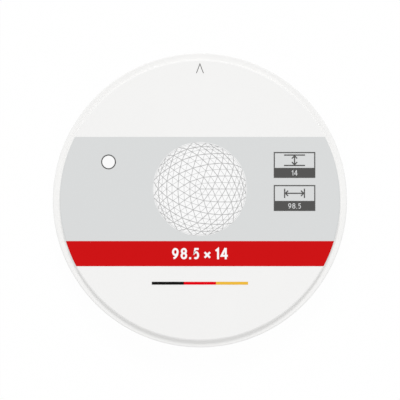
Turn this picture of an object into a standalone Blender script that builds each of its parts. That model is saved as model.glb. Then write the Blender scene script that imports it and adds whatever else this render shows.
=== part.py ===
"""Dental milling disc: a collared blank of chalky white ceramic with a printed face.

Metres, +Z up. The disc lies on its plain side, its axis on Z and its underside at z = 0.
+Y points to the orientation mark at the edge of the face, and +X to the right of the print.
The core stands proud of the collar by the same step above and below, so that a holder
clamps the collar's two flat rings. The print is thin films of ink, stacked on the face.
"""

import math

import bmesh
import bpy
from mathutils import Vector

# Blank
BLANK_DIAMETER = 0.0985
COLLAR_HEIGHT = 0.010
COLLAR_WIDTH = 0.00235
STEP_HEIGHT = 0.002
CORE_BEVEL = 0.0004
BEVEL_RADIUS = 0.00015
COLLAR_EDGE_RADIUS = 0.0005
STEP_FILLET_RADIUS = 0.0002

# Grey field and red band, with the field's top measured from the disc's centre
INK_THICKNESS = 0.00005
PRINT_MARGIN = 0.00003
FIELD_TOP = 0.0211
FIELD_HEIGHT = 0.03475
BAND_HEIGHT = 0.0084

# Bar of three stripes, hung below the band
BAR_DROP = 0.0052
STRIPE_LENGTH = 0.0107
STRIPE_HEIGHT = 0.00095

# Two framed boxes, hung below the field's top
BOX_DROP = 0.00505
BOX_SPACING = 0.0024
BOX_SHIFT = 0.00197
BOX_WIDTH = 0.01386
BOX_HEIGHT = 0.00863
BOX_STRIP_HEIGHT = 0.00333
BOX_LINE = 0.00036

# Ball drawn in triangles, in the middle of the field, cut at a share of its radius above its middle
DRAWING_MARGIN = 0.0017
DRAWING_LINE = 0.00018
DRAWING_DETAIL = 3
DRAWING_CUT = 0.3

# Open arrowhead, hung below the rim of the print
MARK_DROP = 0.0006
MARK_WIDTH = 0.00255
MARK_HEIGHT = 0.0034
MARK_LINE = 0.0002

# Steps in a full turn, in a quarter turn of an edge and in an eighth
TURN_STEPS = 120
FILLET_STEPS = 4
BEVEL_STEPS = 3

CERAMIC_WHITE = (0.90, 0.90, 0.89)
INK_WHITE = (0.97, 0.97, 0.97)
INK_GREY = (0.704, 0.716, 0.717)
INK_LINE = (0.50, 0.50, 0.50)
INK_DARK = (0.094, 0.093, 0.091)
INK_RED = (0.62, 0.0055, 0.0065)
STRIPE_COLOURS = {
    "stripe_black": (0.0065, 0.006, 0.0055),
    "stripe_red": (0.78, 0.0004, 0.0052),
    "stripe_gold": (0.868, 0.503, 0.0485),
}
CERAMIC_ROUGHNESS = 0.75
INK_ROUGHNESS = 0.55

BLANK_RADIUS = BLANK_DIAMETER / 2
CORE_RADIUS = BLANK_RADIUS - COLLAR_WIDTH
BLANK_HEIGHT = COLLAR_HEIGHT + 2 * STEP_HEIGHT
FLAT_RADIUS = CORE_RADIUS - CORE_BEVEL - BEVEL_RADIUS * math.tan(math.pi / 8)
PRINT_RADIUS = FLAT_RADIUS - PRINT_MARGIN
FIELD_FOOT = FIELD_TOP - FIELD_HEIGHT
BAND_FOOT = FIELD_FOOT - BAND_HEIGHT
DRAWING_RADIUS = FIELD_HEIGHT / 2 - DRAWING_MARGIN


def clear_scene():
    for thing in list(bpy.data.objects):
        bpy.data.objects.remove(thing)


def make_material(name, colour, roughness):
    """A non-metal finish in one colour."""
    material = bpy.data.materials.new(name)
    material.use_nodes = True
    shader = material.node_tree.nodes["Principled BSDF"]
    shader.inputs["Base Color"].default_value = (*colour, 1.0)
    shader.inputs["Roughness"].default_value = roughness
    shader.inputs["Metallic"].default_value = 0.0
    material.diffuse_color = (*colour, 1.0)
    return material


def make_object(name, shape, material):
    """Turns a finished bmesh into a named object with its own material."""
    mesh = bpy.data.meshes.new(name)
    shape.to_mesh(mesh)
    shape.free()
    mesh.materials.append(material)
    thing = bpy.data.objects.new(name, mesh)
    bpy.context.scene.collection.objects.link(thing)
    return thing


def rounded_outline(corners):
    """Points along an outline of straight sides, each corner but the ends turned by its arc.

    A corner is (radius from the axis, height, arc radius, arc steps). Its arc touches both
    sides, and its points share out the angle between the two radii that end there.
    """
    places = [Vector((r, z)) for r, z, _, _ in corners]
    points = [places[0]]
    for before, here, after, corner in zip(places, places[1:], places[2:], corners[1:]):
        arc_radius, steps = corner[2:]
        back = (before - here).normalized()
        ahead = (after - here).normalized()
        turn = math.pi - back.angle(ahead)
        trim = arc_radius * math.tan(turn / 2)
        centre = here + (back + ahead).normalized() * arc_radius / math.cos(turn / 2)
        start = here + back * trim - centre
        end = here + ahead * trim - centre
        for step in range(steps + 1):
            done = turn * step / steps
            reach = start * math.sin(turn - done) + end * math.sin(done)
            points.append(centre + reach / math.sin(turn))
    points.append(places[-1])
    return points


def make_blank():
    """The whole ceramic disc, turned from one outline that runs from axis to axis.

    The core's two edges are bevelled at 45 degrees, with both corners of each bevel softened.
    """
    collar_foot = STEP_HEIGHT
    collar_top = STEP_HEIGHT + COLLAR_HEIGHT
    corners = [
        (0.0, 0.0, 0.0, 0),
        (CORE_RADIUS - CORE_BEVEL, 0.0, BEVEL_RADIUS, BEVEL_STEPS),
        (CORE_RADIUS, CORE_BEVEL, BEVEL_RADIUS, BEVEL_STEPS),
        (CORE_RADIUS, collar_foot, STEP_FILLET_RADIUS, FILLET_STEPS),
        (BLANK_RADIUS, collar_foot, COLLAR_EDGE_RADIUS, FILLET_STEPS),
        (BLANK_RADIUS, collar_top, COLLAR_EDGE_RADIUS, FILLET_STEPS),
        (CORE_RADIUS, collar_top, STEP_FILLET_RADIUS, FILLET_STEPS),
        (CORE_RADIUS, BLANK_HEIGHT - CORE_BEVEL, BEVEL_RADIUS, BEVEL_STEPS),
        (CORE_RADIUS - CORE_BEVEL, BLANK_HEIGHT, BEVEL_RADIUS, BEVEL_STEPS),
        (0.0, BLANK_HEIGHT, 0.0, 0),
    ]
    shape = bmesh.new()
    outline = [shape.verts.new((point.x, 0.0, point.y)) for point in rounded_outline(corners)]
    edges = [shape.edges.new(pair) for pair in zip(outline, outline[1:])]
    bmesh.ops.spin(
        shape,
        geom=outline + edges,
        cent=(0.0, 0.0, 0.0),
        axis=(0.0, 0.0, 1.0),
        angle=2 * math.pi,
        steps=TURN_STEPS,
        use_merge=True,
    )
    bmesh.ops.remove_doubles(shape, verts=shape.verts, dist=1e-6)
    bmesh.ops.recalc_face_normals(shape, faces=shape.faces)
    ceramic = make_material("chalk_ceramic", CERAMIC_WHITE, CERAMIC_ROUGHNESS)
    blank = make_object("milling_blank", shape, ceramic)
    blank.data.shade_smooth()
    blank.data.set_sharp_from_angle(angle=math.radians(40))
    return blank


def lay_film(name, shape, colour, blank, layer, place=(0.0, 0.0)):
    """Lays a flat shape on the blank's face as a film of ink, with that many films under it."""
    film = make_object(name, shape, make_material(name + "_ink", colour, INK_ROUGHNESS))
    film.parent = blank
    film.location = (*place, BLANK_HEIGHT + layer * INK_THICKNESS)
    coat = film.modifiers.new("coat", "SOLIDIFY")
    coat.thickness = INK_THICKNESS
    coat.offset = 1.0
    return film


def flat_face(outline):
    """One flat face from an outline that runs anticlockwise."""
    shape = bmesh.new()
    shape.faces.new([shape.verts.new((x, y, 0.0)) for x, y in outline])
    return shape


def arc(radius, start, end, steps):
    angles = [start + (end - start) * step / steps for step in range(steps + 1)]
    return [(radius * math.cos(angle), radius * math.sin(angle)) for angle in angles]


def slice_outline(foot, top):
    """The slice of the print between two heights, closed by the rim's arc on either side."""
    start = math.asin(foot / PRINT_RADIUS)
    end = math.asin(top / PRINT_RADIUS)
    right = arc(PRINT_RADIUS, start, end, math.ceil((end - start) / math.tau * TURN_STEPS))
    left = [(-x, y) for x, y in reversed(right)]
    return right + left


def rectangle(left, foot, right, top):
    return [(left, foot), (right, foot), (right, top), (left, top)]


def framed_box():
    """A thin frame whose foot is a wide strip, centred on the origin: a plate with one window."""
    side = BOX_WIDTH / 2
    top = BOX_HEIGHT / 2
    plate = rectangle(-side, -top, side, top)
    window = rectangle(BOX_LINE - side, BOX_STRIP_HEIGHT - top, side - BOX_LINE, top - BOX_LINE)
    shape = bmesh.new()
    outer = [shape.verts.new((x, y, 0.0)) for x, y in plate]
    inner = [shape.verts.new((x, y, 0.0)) for x, y in window]
    for here in range(4):
        there = (here + 1) % 4
        shape.faces.new((outer[here], outer[there], inner[there], inner[here]))
    return shape


def box_centre_x():
    """Half way from the drawing to the rim beside the upper box's top, shifted out a little."""
    rim = math.sqrt(PRINT_RADIUS**2 - (FIELD_TOP - BOX_DROP) ** 2)
    return (DRAWING_RADIUS + rim) / 2 + BOX_SHIFT


def ball_net():
    """The lines of a ball drawn in triangles: the cap of an icosphere, pressed flat.

    The ball is so large that the round of the cap's foot has the drawing's radius. Each facet
    that is wide enough gets a window, which leaves half a line along its sides.
    """
    ball_radius = DRAWING_RADIUS / math.sqrt(1 - DRAWING_CUT**2)
    shape = bmesh.new()
    bmesh.ops.create_icosphere(shape, subdivisions=DRAWING_DETAIL, radius=ball_radius)
    bmesh.ops.bisect_plane(
        shape,
        geom=shape.verts[:] + shape.edges[:] + shape.faces[:],
        dist=1e-6,
        plane_co=(0.0, 0.0, DRAWING_CUT * ball_radius),
        plane_no=(0.0, 0.0, 1.0),
        clear_inner=True,
    )
    for vert in shape.verts:
        vert.co.z = 0.0
    shape.normal_update()
    windows = [f for f in shape.faces if 2 * f.calc_area() / f.calc_perimeter() > DRAWING_LINE]
    bmesh.ops.inset_individual(shape, faces=windows, thickness=DRAWING_LINE / 2, use_even_offset=True)
    bmesh.ops.delete(shape, geom=windows, context="FACES")
    return shape


def arrowhead():
    """Two strokes of one width that meet in a point at the origin and open downwards."""
    half = MARK_WIDTH / 2
    slant = math.hypot(half, MARK_HEIGHT)
    crotch_drop = MARK_LINE * slant / half
    foot_width = MARK_LINE * slant / MARK_HEIGHT
    shape = bmesh.new()
    tip = shape.verts.new((0.0, 0.0, 0.0))
    crotch = shape.verts.new((0.0, -crotch_drop, 0.0))
    corners = (-half, foot_width - half, half - foot_width, half)
    feet = [shape.verts.new((x, -MARK_HEIGHT, 0.0)) for x in corners]
    shape.faces.new((tip, feet[0], feet[1], crotch))
    shape.faces.new((tip, crotch, feet[2], feet[3]))
    return shape


def print_bands(blank):
    """The grey field and the red band below it, both cut off by the rim of the print."""
    lay_film("grey_field", flat_face(slice_outline(FIELD_FOOT, FIELD_TOP)), INK_GREY, blank, 0)
    lay_film("red_band", flat_face(slice_outline(BAND_FOOT, FIELD_FOOT)), INK_RED, blank, 0)


def print_bar(blank):
    """Three stripes end to end, centred below the red band."""
    centre_y = BAND_FOOT - BAR_DROP - STRIPE_HEIGHT / 2
    stripe = rectangle(-STRIPE_LENGTH / 2, -STRIPE_HEIGHT / 2, STRIPE_LENGTH / 2, STRIPE_HEIGHT / 2)
    for index, (name, colour) in enumerate(STRIPE_COLOURS.items()):
        lay_film(name, flat_face(stripe), colour, blank, 0, ((index - 1) * STRIPE_LENGTH, centre_y))


def print_boxes(blank):
    """Two like boxes on the grey field, one above the other."""
    upper_y = FIELD_TOP - BOX_DROP - BOX_HEIGHT / 2
    for index, name in enumerate(("thickness_box", "diameter_box")):
        centre_y = upper_y - index * (BOX_HEIGHT + BOX_SPACING)
        lay_film(name, framed_box(), INK_DARK, blank, 1, (box_centre_x(), centre_y))


def print_drawing(blank):
    """The ball: a round white ground on the grey field, and its grey lines over that."""
    centre = (0.0, (FIELD_TOP + FIELD_FOOT) / 2)
    circle = arc(DRAWING_RADIUS, 0.0, math.tau, TURN_STEPS)[:-1]
    lay_film("drawing_ground", flat_face(circle), INK_WHITE, blank, 1, centre)
    lay_film("drawing_lines", ball_net(), INK_LINE, blank, 2, centre)


def print_mark(blank):
    """The arrowhead that shows which way the disc goes into its holder."""
    lay_film("orientation_mark", arrowhead(), INK_DARK, blank, 0, (0.0, PRINT_RADIUS - MARK_DROP))


clear_scene()
milling_blank = make_blank()
print_bands(milling_blank)
print_bar(milling_blank)
print_boxes(milling_blank)
print_drawing(milling_blank)
print_mark(milling_blank)
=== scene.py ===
"""Dental milling disc: the finish of its ceramic and its print, with the camera and the light.

Metres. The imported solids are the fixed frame: the disc lies on z = 0 with its axis on Z, the
orientation mark is at +Y, and the print is read with +X to the right.
"""

import math

import bmesh
import bpy
import numpy as np
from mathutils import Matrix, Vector


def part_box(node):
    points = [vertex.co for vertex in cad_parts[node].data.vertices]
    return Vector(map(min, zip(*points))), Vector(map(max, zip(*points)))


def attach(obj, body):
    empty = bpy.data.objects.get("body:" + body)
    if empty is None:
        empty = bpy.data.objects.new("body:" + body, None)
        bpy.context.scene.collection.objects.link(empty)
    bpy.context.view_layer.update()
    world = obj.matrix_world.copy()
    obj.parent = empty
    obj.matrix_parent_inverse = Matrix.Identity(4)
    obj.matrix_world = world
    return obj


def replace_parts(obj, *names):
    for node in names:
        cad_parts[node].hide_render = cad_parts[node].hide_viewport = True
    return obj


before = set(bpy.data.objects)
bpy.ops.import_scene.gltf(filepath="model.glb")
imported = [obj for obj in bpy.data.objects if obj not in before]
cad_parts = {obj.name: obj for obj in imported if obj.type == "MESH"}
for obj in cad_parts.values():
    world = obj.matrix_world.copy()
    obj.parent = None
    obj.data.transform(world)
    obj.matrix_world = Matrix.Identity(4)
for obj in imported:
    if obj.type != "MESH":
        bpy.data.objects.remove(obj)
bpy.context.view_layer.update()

# Blank: its edges, the step round its core, and how finely its outline and its arcs are turned
COLLAR_HEIGHT = 0.010
COLLAR_WIDTH = 0.00235
CORE_BEVEL = 0.0004
BEVEL_RADIUS = 0.00015
COLLAR_EDGE_RADIUS = 0.0005
STEP_FILLET_RADIUS = 0.0002
TURN_STEPS = 480
ARC_STEPS = 8
HOLD = 0.00004
SHARP_EDGE = math.radians(30)
WELD = 1e-7

# Print: its reach, the shade sample, the measure signs, the finer net, the strips and the digits
PRINT_RADIUS = 0.0468
INK_SINK = 0.00001
SHADE_PLACE = (-0.0305, 0.01275)
SHADE_RADIUS = 0.0021
SHADE_LINE = 0.00036
SHADE_STEPS = 96
SIGN_LINE = 0.00038
SIGN_HEAD = 0.00088
SIGN_HEAD_INSET = 0.7
SIGN_DROP = 0.0001
THICKNESS_BARS = (0.0070, 0.00347)
DIAMETER_BARS = (0.0031, 0.0066)
FINE_LINE = 0.00012
FINE_SUBDIVISIONS = 4
BALL_CUT = 0.3
STRIP_HEIGHT = 0.00333
DIGIT_GAP = 0.18
SMALL_DIGITS = (0.0018, 0.13)
LARGE_DIGITS = (0.00375, 0.175)

# Camera, almost straight above, for a square picture of 400 pixels
PICTURE = 400
LENS = 200.0
SENSOR = 36.0
TILT = math.radians(0.7)
OUTLINE_PIXELS = 147.1
OUTLINE_HEIGHT = 0.0117
CENTRE_PIXEL = (199.92, 200.20)

# Light: an even sky, and soft lamps, each with its azimuth and elevation in degrees and its share
SKY = 0.685
LAMPS = (
    ("back_lamp", 90, 50, 0.35),
    ("front_lamp", -90, 30, 0.092),
)
LAMP_DISTANCE = 3.0
LAMP_SIZE = 1.0

# Floor: its reach, the radius of the opening that the disc covers, its white and its own glow
FLOOR_REACH = 4.0
FLOOR_OPENING = 0.046
FLOOR_WHITE = (0.95, 0.95, 0.95)
FLOOR_GLOW = 0.97

# Ceramic: its white and how far that spreads, the limits of its roughness, its gloss, the scales of
# its clouds and powder, the turned rings' pitch and share, and its bump's strength and distance
CERAMIC = (0.905, 0.902, 0.895)
CERAMIC_SPREAD = 0.015
CERAMIC_ROUGHNESS = (0.62, 0.88)
CERAMIC_GLOSS = 0.2
CLOUD_SCALE = 38.0
POWDER_SCALE = 5200.0
RING_PITCH = 0.00022
RING_SHARE = 0.12
CERAMIC_BUMP = (0.22, 0.00002)

# Inks: their colours, and how unevenly they lie
GREY_INK = (0.704, 0.716, 0.717)
RED_INK = (0.62, 0.0055, 0.0065)
BLACK_INK = (0.0065, 0.006, 0.0055)
BRIGHT_RED_INK = (0.78, 0.0004, 0.0052)
GOLD_INK = (0.868, 0.503, 0.0485)
DARK_INK = (0.094, 0.093, 0.091)
LINE_INK = (0.50, 0.50, 0.50)
WHITE_INK = (0.97, 0.97, 0.97)
INK_SPREAD = 0.012
PALE_INK_SPREAD = 0.004
INK_ROUGHNESS = (0.50, 0.72)
INK_GLOSS = 0.03
LAY_SCALE = 420.0
INK_BUMP = (0.15, 0.00001)

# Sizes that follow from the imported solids
BLANK_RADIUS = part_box("milling_blank")[1].x
BLANK_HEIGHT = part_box("milling_blank")[1].z
STEP_HEIGHT = (BLANK_HEIGHT - COLLAR_HEIGHT) / 2
CORE_RADIUS = BLANK_RADIUS - COLLAR_WIDTH
INK_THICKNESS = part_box("grey_field")[1].z - BLANK_HEIGHT
SIGN_STEP = INK_THICKNESS / 10
DIGIT_STEP = INK_THICKNESS / 40
NET_THICKNESS = INK_THICKNESS / 3


def shade_node(tree, kind, **settings):
    """Adds a shader node and sets its own properties and unlinked sockets by name."""
    node = tree.nodes.new(kind)
    for name, value in settings.items():
        if hasattr(node, name):
            setattr(node, name, value)
        else:
            node.inputs[name].default_value = value
    return node


def start_finish(name):
    """A new material with its node tree, its shader and the object coordinates it reads."""
    material = bpy.data.materials.new(name)
    material.use_nodes = True
    tree = material.node_tree
    place = tree.nodes.new("ShaderNodeTexCoord").outputs["Object"]
    return material, tree, tree.nodes["Principled BSDF"], place


def uneven_colour(tree, shader, pattern, colour, spread):
    """Mixes a colour from a little darker to a little lighter by a pattern's value."""
    tone = tree.nodes.new("ShaderNodeMix")
    tone.data_type = "RGBA"
    tone.inputs["A"].default_value = (*((1 - spread) * value for value in colour), 1.0)
    tone.inputs["B"].default_value = (*(min(1.0, (1 + spread) * value) for value in colour), 1.0)
    tree.links.new(pattern.outputs["Fac"], tone.inputs["Factor"])
    tree.links.new(tone.outputs["Result"], shader.inputs["Base Color"])


def uneven_roughness(tree, shader, pattern, limits):
    """Lets the roughness follow a pattern's value between two limits."""
    rough = shade_node(tree, "ShaderNodeMapRange")
    rough.inputs["To Min"].default_value = limits[0]
    rough.inputs["To Max"].default_value = limits[1]
    tree.links.new(pattern.outputs["Fac"], rough.inputs["Value"])
    tree.links.new(rough.outputs["Result"], shader.inputs["Roughness"])


def raised_grain(tree, shader, height, bump):
    """Raises a pattern's height on the surface, with the bump's strength and distance."""
    grain = shade_node(tree, "ShaderNodeBump", Strength=bump[0], Distance=bump[1])
    tree.links.new(height, grain.inputs["Height"])
    tree.links.new(grain.outputs["Normal"], shader.inputs["Normal"])


def ceramic_finish():
    """Chalky white ceramic: faint clouds in the white, a fine powder grain and turned rings.

    The rings are waves of the distance from the axis plus the height, so that they run round
    the flat faces and round the walls alike.
    """
    material, tree, shader, place = start_finish("chalk_ceramic")
    link = tree.links.new
    clouds = shade_node(tree, "ShaderNodeTexNoise", Scale=CLOUD_SCALE, Detail=3.0, Roughness=0.55)
    link(place, clouds.inputs["Vector"])
    uneven_colour(tree, shader, clouds, CERAMIC, CERAMIC_SPREAD)
    powder = shade_node(tree, "ShaderNodeTexNoise", Scale=POWDER_SCALE, Detail=4.0, Roughness=0.6)
    link(place, powder.inputs["Vector"])
    uneven_roughness(tree, shader, powder, CERAMIC_ROUGHNESS)

    split = tree.nodes.new("ShaderNodeSeparateXYZ")
    link(place, split.inputs["Vector"])
    across = shade_node(tree, "ShaderNodeVectorMath", operation="MULTIPLY")
    across.inputs[1].default_value = (1.0, 1.0, 0.0)
    link(place, across.inputs[0])
    length = shade_node(tree, "ShaderNodeVectorMath", operation="LENGTH")
    link(across.outputs["Vector"], length.inputs[0])
    reach = shade_node(tree, "ShaderNodeMath", operation="ADD")
    link(length.outputs["Value"], reach.inputs[0])
    link(split.outputs["Z"], reach.inputs[1])
    phase = shade_node(tree, "ShaderNodeMath", operation="MULTIPLY")
    link(reach.outputs["Value"], phase.inputs[0])
    phase.inputs[1].default_value = math.tau / RING_PITCH
    rings = shade_node(tree, "ShaderNodeMath", operation="SINE")
    link(phase.outputs["Value"], rings.inputs[0])
    faint = shade_node(tree, "ShaderNodeMath", operation="MULTIPLY_ADD")
    link(rings.outputs["Value"], faint.inputs[0])
    faint.inputs[1].default_value = RING_SHARE
    link(powder.outputs["Fac"], faint.inputs[2])
    raised_grain(tree, shader, faint.outputs["Value"], CERAMIC_BUMP)
    shader.inputs["Specular IOR Level"].default_value = CERAMIC_GLOSS
    return material


def ink_finish(name, colour, spread=INK_SPREAD):
    """Matt pad-printed ink: one colour, a little uneven, with the powder grain showing through."""
    material, tree, shader, place = start_finish(name)
    lay = shade_node(tree, "ShaderNodeTexNoise", Scale=LAY_SCALE, Detail=4.0, Roughness=0.6)
    tree.links.new(place, lay.inputs["Vector"])
    uneven_colour(tree, shader, lay, colour, spread)
    grain = shade_node(tree, "ShaderNodeTexNoise", Scale=POWDER_SCALE, Detail=3.0, Roughness=0.6)
    tree.links.new(place, grain.inputs["Vector"])
    uneven_roughness(tree, shader, grain, INK_ROUGHNESS)
    raised_grain(tree, shader, grain.outputs["Fac"], INK_BUMP)
    shader.inputs["Specular IOR Level"].default_value = INK_GLOSS
    return material


def finish_piece(name, points, faces, material, body=0.0):
    """Makes a mesh object from whole arrays and rides it on the disc.

    A sheet of ink gets a body: its faces are carried straight down by that much, with walls
    along every open edge. Edges sharper than 30 degrees stay sharp, all others are smooth.
    """
    mesh = bpy.data.meshes.new(name)
    mesh.from_pydata(points.tolist(), [], [tuple(face) for face in faces])
    shape = bmesh.new()
    shape.from_mesh(mesh)
    bmesh.ops.remove_doubles(shape, verts=shape.verts, dist=WELD)
    if body:
        below = bmesh.ops.extrude_face_region(shape, geom=shape.faces[:], use_keep_orig=True)
        lowered = [item for item in below["geom"] if isinstance(item, bmesh.types.BMVert)]
        bmesh.ops.translate(shape, verts=lowered, vec=(0.0, 0.0, -body))
    bmesh.ops.recalc_face_normals(shape, faces=shape.faces)
    shape.to_mesh(mesh)
    shape.free()
    mesh.shade_smooth()
    mesh.set_sharp_from_angle(angle=SHARP_EDGE)
    mesh.materials.append(material)
    piece = bpy.data.objects.new(name, mesh)
    bpy.context.scene.collection.objects.link(piece)
    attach(piece, "root")
    return piece


def grid_faces(rows, columns, closed=False):
    """Quads between the neighbours of a grid of points numbered row by row."""
    row = np.arange(rows - 1)[:, None]
    column = np.arange(columns if closed else columns - 1)[None, :]
    after = (column + 1) % columns
    near = row * columns + column
    ahead = row * columns + after
    quads = np.stack([near, ahead, ahead + columns, near + columns], axis=-1)
    return quads.reshape(-1, 4)


def rounded_profile(corners):
    """Radius and height along an outline of straight sides, each corner turned by its arc.

    A corner is (radius from the axis, height, arc radius). With u and v the ways from the
    arc's centre to its ends and w the angle between them, the arc is the centre plus
    (u sin(w - t) + v sin t) / sin w for t from 0 to w. A short straight piece on either side
    holds the flats flat.
    """
    spots = np.array([corner[:2] for corner in corners])
    parts = [spots[:1]]
    for index in range(1, len(corners) - 1):
        here = spots[index]
        back = spots[index - 1] - here
        ahead = spots[index + 1] - here
        back /= np.linalg.norm(back)
        ahead /= np.linalg.norm(ahead)
        arc_radius = corners[index][2]
        turn = math.pi - math.acos(back @ ahead)
        trim = arc_radius * math.tan(turn / 2)
        inward = (back + ahead) / np.linalg.norm(back + ahead)
        centre = here + inward * arc_radius / math.cos(turn / 2)
        start = here + back * trim - centre
        end = here + ahead * trim - centre
        done = np.linspace(0.0, turn, ARC_STEPS + 1)[:, None]
        arc = centre + (start * np.sin(turn - done) + end * np.sin(done)) / math.sin(turn)
        parts += [arc[:1] + back * HOLD, arc, arc[-1:] + ahead * HOLD]
    parts.append(spots[-1:])
    return np.concatenate(parts)


def turned_points(profile, steps, centre=(0.0, 0.0)):
    """A profile turned round an upright axis: (r cos u + x, r sin u + y, z) over the whole grid."""
    turn = np.arange(steps) * math.tau / steps
    radius, height = profile[:, :1], profile[:, 1:]
    x = centre[0] + radius * np.cos(turn)
    y = centre[1] + radius * np.sin(turn)
    return np.stack([x, y, np.broadcast_to(height, x.shape)], axis=-1).reshape(-1, 3)


def blank_profile():
    """The disc's outline from the axis at its foot, round the collar, to the axis at its top."""
    foot = STEP_HEIGHT
    top = STEP_HEIGHT + COLLAR_HEIGHT
    return rounded_profile([
        (0.0, 0.0, 0.0),
        (CORE_RADIUS - CORE_BEVEL, 0.0, BEVEL_RADIUS),
        (CORE_RADIUS, CORE_BEVEL, BEVEL_RADIUS),
        (CORE_RADIUS, foot, STEP_FILLET_RADIUS),
        (BLANK_RADIUS, foot, COLLAR_EDGE_RADIUS),
        (BLANK_RADIUS, top, COLLAR_EDGE_RADIUS),
        (CORE_RADIUS, top, STEP_FILLET_RADIUS),
        (CORE_RADIUS, BLANK_HEIGHT - CORE_BEVEL, BEVEL_RADIUS),
        (CORE_RADIUS - CORE_BEVEL, BLANK_HEIGHT, BEVEL_RADIUS),
        (0.0, BLANK_HEIGHT, 0.0),
    ])


def blank_skin(material):
    """The ceramic disc: step, bevels, roundings and fillets turned in one surface."""
    profile = blank_profile()
    points = turned_points(profile, TURN_STEPS)
    faces = grid_faces(len(profile), TURN_STEPS, closed=True)
    return finish_piece("blank_skin", points, faces, material)


def face_height(radius):
    """Height of the printed face at a distance from the axis, on the flat and on the bevel."""
    profile = blank_profile()
    face = profile[profile[:, 1] > BLANK_HEIGHT - CORE_BEVEL][::-1]
    return np.interp(radius, face[:, 0], face[:, 1])


def rim_slice(name, foot, top, material, columns=120, rows=24):
    """A band of ink from rim to rim that follows the face over the start of its bevel.

    y runs from foot to top, x = sin(s) * sqrt(R^2 - y^2) for s from a quarter turn left to a
    quarter turn right, so that the columns close up towards the rim, and z is the face's
    height there plus the ink's thickness.
    """
    y = np.linspace(foot, top, rows + 1)[:, None]
    s = np.linspace(-math.pi / 2, math.pi / 2, columns + 1)[None, :]
    x = np.sin(s) * np.sqrt(PRINT_RADIUS**2 - y**2)
    y = np.broadcast_to(y, x.shape)
    z = face_height(np.hypot(x, y)) + INK_THICKNESS
    points = np.stack([x, y, z], axis=-1).reshape(-1, 3)
    faces = grid_faces(rows + 1, columns + 1)
    return finish_piece(name, points, faces, material, INK_THICKNESS + INK_SINK)


def flat_bands(name, bands, level, material):
    """Flat strokes of ink in one piece, each a band of one width along its path.

    Each path point is moved half the width to either side, along the sum of the two normals
    that meet there over one plus their product, which keeps the width round a corner.
    """
    points = []
    faces = []
    start = 0
    for path, width, lift in bands:
        path = np.array(path, float)
        way = np.diff(path, axis=0)
        way /= np.linalg.norm(way, axis=1)[:, None]
        normal = np.stack([-way[:, 1], way[:, 0]], axis=-1)
        before = np.concatenate([normal[:1], normal])
        after = np.concatenate([normal, normal[-1:]])
        side = (before + after) / (1 + np.sum(before * after, axis=1))[:, None]
        edges = np.stack([path + side * width / 2, path - side * width / 2], axis=1)
        height = np.full((len(path), 2, 1), level + lift)
        points.append(np.concatenate([edges, height], axis=-1).reshape(-1, 3))
        faces.append(grid_faces(len(path), 2) + start)
        start += 2 * len(path)
    points = np.concatenate(points)
    faces = np.concatenate(faces)
    return finish_piece(name, points, faces, material, INK_THICKNESS)


def measure_sign(name, bars, centre, turn, level, material):
    """Two bars with a double arrow between them, turned about the sign's centre."""
    length, gap = bars
    half = gap / 2
    reach = half - SIGN_LINE * SIGN_HEAD_INSET
    back = reach - SIGN_HEAD
    strokes = [
        ([(-length / 2, half), (length / 2, half)], 0.0),
        ([(-length / 2, -half), (length / 2, -half)], 0.0),
        ([(0.0, -half), (0.0, half)], -SIGN_STEP),
        ([(-SIGN_HEAD, back), (0.0, reach), (SIGN_HEAD, back)], SIGN_STEP),
        ([(-SIGN_HEAD, -back), (0.0, -reach), (SIGN_HEAD, -back)], SIGN_STEP),
    ]
    rotation = np.array([[math.cos(turn), math.sin(turn)], [-math.sin(turn), math.cos(turn)]])
    bands = [(np.array(path) @ rotation + centre, SIGN_LINE, lift) for path, lift in strokes]
    return flat_bands(name, bands, level, material)


def bend(centre, reach, start, end, steps=28):
    """Points on an ellipse about a centre, from one angle to another in degrees."""
    turn = np.radians(np.linspace(start, end, steps + 1))
    return np.column_stack([centre[0] + reach[0] * np.cos(turn), centre[1] + reach[1] * np.sin(turn)])


def digit_strokes(digit, weight):
    """Centre lines of one plain character that is 1 high, and its width.

    The bowls keep half the stroke's weight inside the height, and the stems end square on it.
    """
    half = weight / 2
    if digit == "1":
        return [[(0.02, 0.74), (0.32 - half, 1.0 - half), (0.32 - half, 0.0)]], 0.32
    if digit == "4":
        bar = 0.22 + half
        return [[(0.42, 1.0), (0.42, 0.0)], [(0.39, 0.99), (0.05, bar), (0.60, bar)]], 0.60
    if digit == "5":
        bowl = bend((0.25, (0.63 + half) / 2), (0.28 - half, (0.63 - half) / 2), 128, -132)
        return [[(0.49, 1.0 - half), (0.10 + half, 1.0 - half), *bowl]], 0.54
    if digit == "8":
        upper = bend((0.29, (1.53 - half) / 2), (0.27 - half, (0.47 - half) / 2), -90, 270)
        lower = bend((0.29, (0.53 + half) / 2), (0.29 - half, (0.53 - half) / 2), 90, 450)
        return [upper, lower], 0.58
    if digit == "9":
        bowl = bend((0.29, (1.38 - half) / 2), (0.29 - half, (0.62 - half) / 2), 0, 360)
        tail = bend((0.08, 0.69), (0.50 - half, 0.69 - half), 0, -84)
        return [bowl, tail], 0.58
    if digit == ".":
        return [[(half, 0.0), (half, weight)]], weight
    if digit == "x":
        return [[(0.06, 0.14), (0.54, 0.62)], [(0.06, 0.62), (0.54, 0.14)]], 0.60
    return [], 0.06


def plain_number(name, digits, height, weight, centre, level, material, slot):
    """Plain characters drawn in strokes of one weight, side by side about a centre."""
    pen = 0.0
    strokes = []
    for digit in digits:
        paths, width = digit_strokes(digit, weight)
        strokes += [np.array(path) + (pen, 0.0) for path in paths]
        pen += width + DIGIT_GAP
    half = (pen - DIGIT_GAP) / 2
    bands = []
    for index, path in enumerate(strokes):
        place = (path - (half, 0.5)) * height + centre
        bands.append((place, weight * height, -DIGIT_STEP * (index % 3)))
    return flat_bands(name, bands, level, material)


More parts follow.
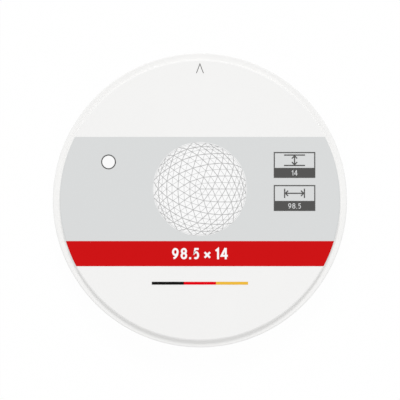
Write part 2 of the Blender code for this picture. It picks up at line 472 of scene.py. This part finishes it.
def shade_spot(ring_material, dot_material, level):
    """A round sample of the disc's shade: a dot of white with a dark ring close round it."""
    for name, inner, outer, material, slot in (
        ("shade_ring", SHADE_RADIUS, SHADE_RADIUS + SHADE_LINE, ring_material, "dark_ink"),
        ("shade_dot", 0.0, SHADE_RADIUS, dot_material, "white_ink"),
    ):
        profile = np.array([(inner, level), (outer, level)])
        points = turned_points(profile, SHADE_STEPS, SHADE_PLACE)
        faces = grid_faces(2, SHADE_STEPS, closed=True)
        finish_piece(name, points, faces, material, INK_THICKNESS)


def fine_net(material):
    """Finer lines between the ball's own: each triangle of the next finer ball with a window.

    The window is the triangle shrunk about its incentre by 1 - w / (2 r), where w is the line's
    width and r the radius of the circle inside the triangle.
    """
    low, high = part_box("drawing_ground")
    centre = np.array([(low.x + high.x) / 2, (low.y + high.y) / 2])
    radius = (high.x - low.x) / 2 / math.sqrt(1 - BALL_CUT**2)
    ball = bmesh.new()
    bmesh.ops.create_icosphere(ball, subdivisions=FINE_SUBDIVISIONS, radius=radius)
    spots = np.array([vert.co[:] for vert in ball.verts])
    corners = np.array([[vert.index for vert in face.verts] for face in ball.faces])
    ball.free()
    corners = corners[np.all(spots[corners][:, :, 2] > BALL_CUT * radius, axis=1)]
    flat = spots[:, :2] + centre
    triangle = flat[corners]
    opposite = np.linalg.norm(np.roll(triangle, -1, axis=1) - np.roll(triangle, -2, axis=1), axis=2)
    along = triangle[:, 1] - triangle[:, 0]
    across = triangle[:, 2] - triangle[:, 0]
    area = np.abs(along[:, 0] * across[:, 1] - along[:, 1] * across[:, 0]) / 2
    girth = opposite.sum(axis=1)
    incentre = (triangle * opposite[:, :, None]).sum(axis=1) / girth[:, None]
    shrink = np.clip(1 - FINE_LINE / 2 * girth / (2 * area), 0.0, 1.0)
    window = incentre[:, None] + (triangle - incentre[:, None]) * shrink[:, None, None]
    count = len(flat)
    inner = count + np.arange(len(corners) * 3).reshape(-1, 3)
    ahead = np.roll(corners, -1, axis=1)
    inner_ahead = np.roll(inner, -1, axis=1)
    faces = np.stack([corners, ahead, inner_ahead, inner], axis=-1).reshape(-1, 4)
    level = np.full(count + inner.size, high.z + NET_THICKNESS)
    points = np.column_stack([np.concatenate([flat, window.reshape(-1, 2)]), level])
    used = np.unique(faces)
    order = np.full(len(points), -1)
    order[used] = np.arange(len(used))
    return finish_piece("fine_net", points[used], order[faces], material, NET_THICKNESS)


def seen_rays(tree):
    """One for camera, glossy and transmission rays, nought for the rays that light the disc."""
    rays = tree.nodes.new("ShaderNodeLightPath")
    total = rays.outputs["Is Camera Ray"]
    for name in ("Is Glossy Ray", "Is Transmission Ray"):
        add = shade_node(tree, "ShaderNodeMath", operation="MAXIMUM")
        tree.links.new(total, add.inputs[0])
        tree.links.new(rays.outputs[name], add.inputs[1])
        total = add.outputs["Value"]
    return total


def floor_finish():
    """White ground: to the camera and to gloss mostly its own white, which keeps a faint shadow."""
    material = bpy.data.materials.new("floor")
    material.use_nodes = True
    tree = material.node_tree
    tree.nodes.clear()
    link = tree.links.new
    matt = shade_node(tree, "ShaderNodeBsdfDiffuse", Color=(*FLOOR_WHITE, 1.0))
    glow = shade_node(tree, "ShaderNodeEmission", Color=(1.0, 1.0, 1.0, 1.0), Strength=1.0)
    mixed = shade_node(tree, "ShaderNodeMixShader")
    share = shade_node(tree, "ShaderNodeMath", operation="MULTIPLY")
    share.inputs[1].default_value = FLOOR_GLOW
    link(seen_rays(tree), share.inputs[0])
    link(share.outputs["Value"], mixed.inputs["Fac"])
    link(matt.outputs["BSDF"], mixed.inputs[1])
    link(glow.outputs["Emission"], mixed.inputs[2])
    out = tree.nodes.new("ShaderNodeOutputMaterial")
    link(mixed.outputs["Shader"], out.inputs["Surface"])
    return material


def lay_floor():
    """A flat ring round the disc's axis: its opening lets a view from below reach the underside."""
    mesh = bpy.data.meshes.new("floor")
    profile = np.array([(FLOOR_OPENING, 0.0), (FLOOR_REACH, 0.0)])
    upward = grid_faces(2, TURN_STEPS, closed=True)[:, ::-1]
    mesh.from_pydata(turned_points(profile, TURN_STEPS).tolist(), [], upward.tolist())
    mesh.materials.append(floor_finish())
    floor = bpy.data.objects.new("floor", mesh)
    bpy.context.scene.collection.objects.link(floor)


def light_scene():
    """An even white sky, and soft square lamps that look down at the disc from far off.

    A lamp of radiance P / (pi S) at distance d lights a face turned to it as brightly as a
    share P / (pi^2 d^2) of a white sky, so P is that share times pi^2 d^2. With azimuth a and
    elevation e it stands at d (cos e cos a, cos e sin a, sin e).
    """
    world = bpy.data.worlds.new("sky")
    bpy.context.scene.world = world
    world.use_nodes = True
    tree = world.node_tree
    background = tree.nodes["Background"]
    background.inputs["Color"].default_value = (1.0, 1.0, 1.0, 1.0)
    strength = shade_node(tree, "ShaderNodeMapRange")
    strength.inputs["To Min"].default_value = SKY
    strength.inputs["To Max"].default_value = 1.0
    tree.links.new(seen_rays(tree), strength.inputs["Value"])
    tree.links.new(strength.outputs["Result"], background.inputs["Strength"])

    for name, azimuth, elevation, share in LAMPS:
        lamp = bpy.data.lights.new(name, "AREA")
        lamp.shape = "SQUARE"
        lamp.size = LAMP_SIZE
        lamp.energy = share * math.pi**2 * LAMP_DISTANCE**2
        turn, rise = math.radians(azimuth), math.radians(elevation)
        level = math.cos(rise)
        way = Vector((level * math.cos(turn), level * math.sin(turn), math.sin(rise)))
        holder = bpy.data.objects.new(name, lamp)
        holder.location = way * LAMP_DISTANCE
        holder.rotation_euler = way.to_track_quat("Z", "Y").to_euler()
        bpy.context.scene.collection.objects.link(holder)


def place_camera():
    """Above the disc, a little to the front: as far off as gives the outline its size in pixels.

    With tilt t the camera stands at distance d along (0, -sin t, cos t) from the point of the
    disc's axis at its outline's height, moved along its own sides so that this point falls on
    its pixel.
    """
    pixels = LENS / SENSOR * PICTURE
    distance = pixels * BLANK_RADIUS / OUTLINE_PIXELS
    data = bpy.data.cameras.new("camera")
    data.lens = LENS
    data.sensor_width = SENSOR
    camera = bpy.data.objects.new("camera", data)
    aside = (PICTURE / 2 - CENTRE_PIXEL[0]) * distance / pixels
    along = (CENTRE_PIXEL[1] - PICTURE / 2) * distance / pixels
    sine, cosine = math.sin(TILT), math.cos(TILT)
    camera.location = (
        aside,
        along * cosine - distance * sine,
        OUTLINE_HEIGHT + along * sine + distance * cosine,
    )
    camera.rotation_euler = (TILT, 0.0, 0.0)
    bpy.context.scene.collection.objects.link(camera)
    bpy.context.scene.camera = camera


def dress_nodes(finishes):
    """Gives each ink solid that stays in view its finish."""
    for node, material in finishes.items():
        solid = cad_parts[node]
        solid.data.materials.clear()
        solid.data.materials.append(material)


def middle(node):
    """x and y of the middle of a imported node's box."""
    low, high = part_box(node)
    return (low.x + high.x) / 2, (low.y + high.y) / 2


def print_face():
    """All the ink: the two bands over the rim, the solids' own fields, and signs and digits."""
    dark = ink_finish("dark_ink", DARK_INK)
    white = ink_finish("white_ink", WHITE_INK, PALE_INK_SPREAD)
    grey = ink_finish("grey_ink", GREY_INK, PALE_INK_SPREAD)
    line = ink_finish("line_ink", LINE_INK)
    red = ink_finish("red_ink", RED_INK)
    dress_nodes({
        "stripe_black": ink_finish("black_ink", BLACK_INK),
        "stripe_red": ink_finish("bright_red_ink", BRIGHT_RED_INK),
        "stripe_gold": ink_finish("gold_ink", GOLD_INK),
        "thickness_box": dark,
        "diameter_box": dark,
        "drawing_ground": white,
        "drawing_lines": line,
        "orientation_mark": dark,
    })
    for node, name, material, slot in (
        ("grey_field", "field_print", grey, "grey_ink"),
        ("red_band", "band_print", red, "red_ink"),
    ):
        low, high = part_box(node)
        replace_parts(rim_slice(name, low.y, high.y, material), node)

    first = BLANK_HEIGHT + 2 * INK_THICKNESS
    second = BLANK_HEIGHT + 3 * INK_THICKNESS
    quarter = math.pi / 2
    for node, sign, bars, turn, number, digits in (
        ("thickness_box", "thickness_sign", THICKNESS_BARS, 0.0, "thickness_number", "14"),
        ("diameter_box", "diameter_sign", DIAMETER_BARS, quarter, "diameter_number", "98.5"),
    ):
        low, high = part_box(node)
        x = middle(node)[0]
        window = (x, (low.y + STRIP_HEIGHT + high.y) / 2 - SIGN_DROP)
        measure_sign(sign, bars, window, turn, first, dark)
        strip = (x, low.y + STRIP_HEIGHT / 2)
        plain_number(number, digits, *SMALL_DIGITS, strip, second, grey, "grey_ink")
    band = middle("red_band")
    plain_number("size_number", "98.5 x 14", *LARGE_DIGITS, band, first, white, "white_ink")
    shade_spot(dark, white, first)
    fine_net(line)


place_camera()
light_scene()
lay_floor()
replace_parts(blank_skin(ceramic_finish()), "milling_blank")
print_face()
bpy.context.scene.view_settings.view_transform = "Standard"
